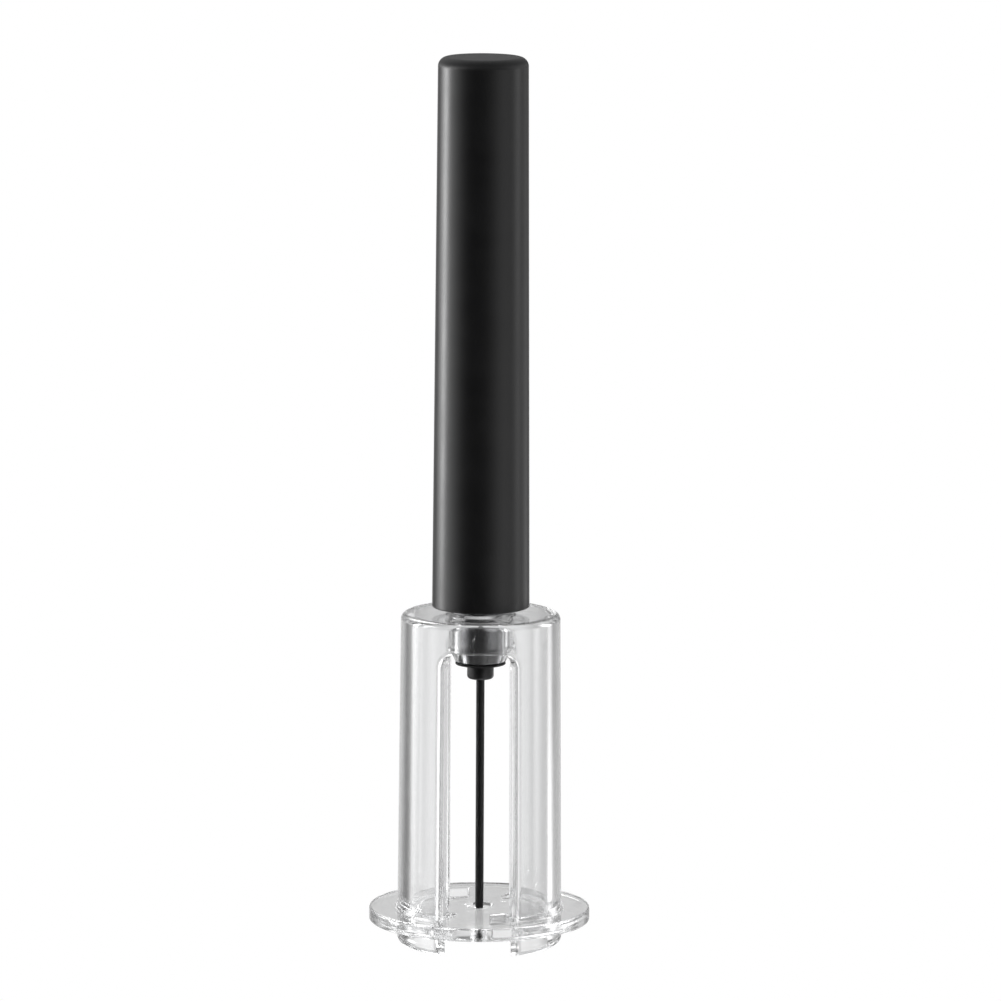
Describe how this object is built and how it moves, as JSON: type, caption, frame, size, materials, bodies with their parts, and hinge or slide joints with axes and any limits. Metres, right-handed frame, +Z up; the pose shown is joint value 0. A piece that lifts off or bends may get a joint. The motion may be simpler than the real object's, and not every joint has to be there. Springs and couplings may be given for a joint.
{
  "type": "air pressure wine opener",
  "caption": "Hand-pumped air pressure wine opener: a black handle sliding on a rod above a clear frame with a hollow needle and a clear sliding disc.",
  "frame": {"origin": "on the surface that the feet stand on, under the needle's axis", "axes": "+Z up along the needle and the handle; the windows between the legs face -Y and +Y, the legs lie on -X and +X"},
  "size_m": [0.052, 0.052, 0.2094],
  "materials": {
    "clear_plastic": "clear, polished",
    "handle_plastic": "satin black",
    "black_plastic": "satin black, moulded",
    "needle_coating": "smooth black non-stick coating over steel",
    "black_rubber": "matt black",
    "polished_steel": "turned, polished and plated dark",
    "rod_steel": "ground and polished",
    "spring_steel": "plain",
    "white_plastic": "natural acetal",
    "brass": "turned",
    "barrel_aluminium": "drawn tube, plain"
  },
  "bodies": {
    "base": {"guide_frame": "clear_plastic", "mounting_sleeve": "polished_steel", "sealing_washer": "black_rubber", "needle_hub": "black_plastic", "needle": "needle_coating", "rod_gasket": "black_rubber", "valve_seat": "brass", "valve_spring": "spring_steel", "piston_rod": "rod_steel", "piston_head": "white_plastic", "piston_cup_seal": "black_rubber", "piston_screw": "brass", "bumper_ring": "black_rubber"},
    "wiper": {"rod_wiper": "black_rubber"},
    "handle": {"handle_shell": "handle_plastic", "pump_barrel": "barrel_aluminium", "barrel_plug": "white_plastic", "plug_o_ring": "black_rubber", "guide_bush": "white_plastic", "bush_snap_ring": "spring_steel"},
    "disc": {"guide_disc": "clear_plastic"},
    "ball": {"valve_ball": "spring_steel"}
  },
  "joints": [
    {"name": "handle_slide", "type": "slide", "parent": "base", "child": "wiper", "axis": [0, 0, 1], "range_m": [0, 0.0975]},
    {"name": "handle_turn", "type": "hinge", "parent": "wiper", "child": "handle", "pos_m": [0, 0, 0.0802], "axis": [0, 0, 1], "continuous": true},
    {"name": "disc_slide", "type": "slide", "parent": "base", "child": "disc", "axis": [0, 0, 1], "range_m": [0, 0.0548]},
    {"name": "valve_lift", "type": "slide", "parent": "base", "child": "ball", "axis": [0, 0, -1], "range_m": [0, 0.0009], "stiffness_N_per_m": 20, "springref_m": -0.001, "deforming": ["valve_spring"]}
  ]
}
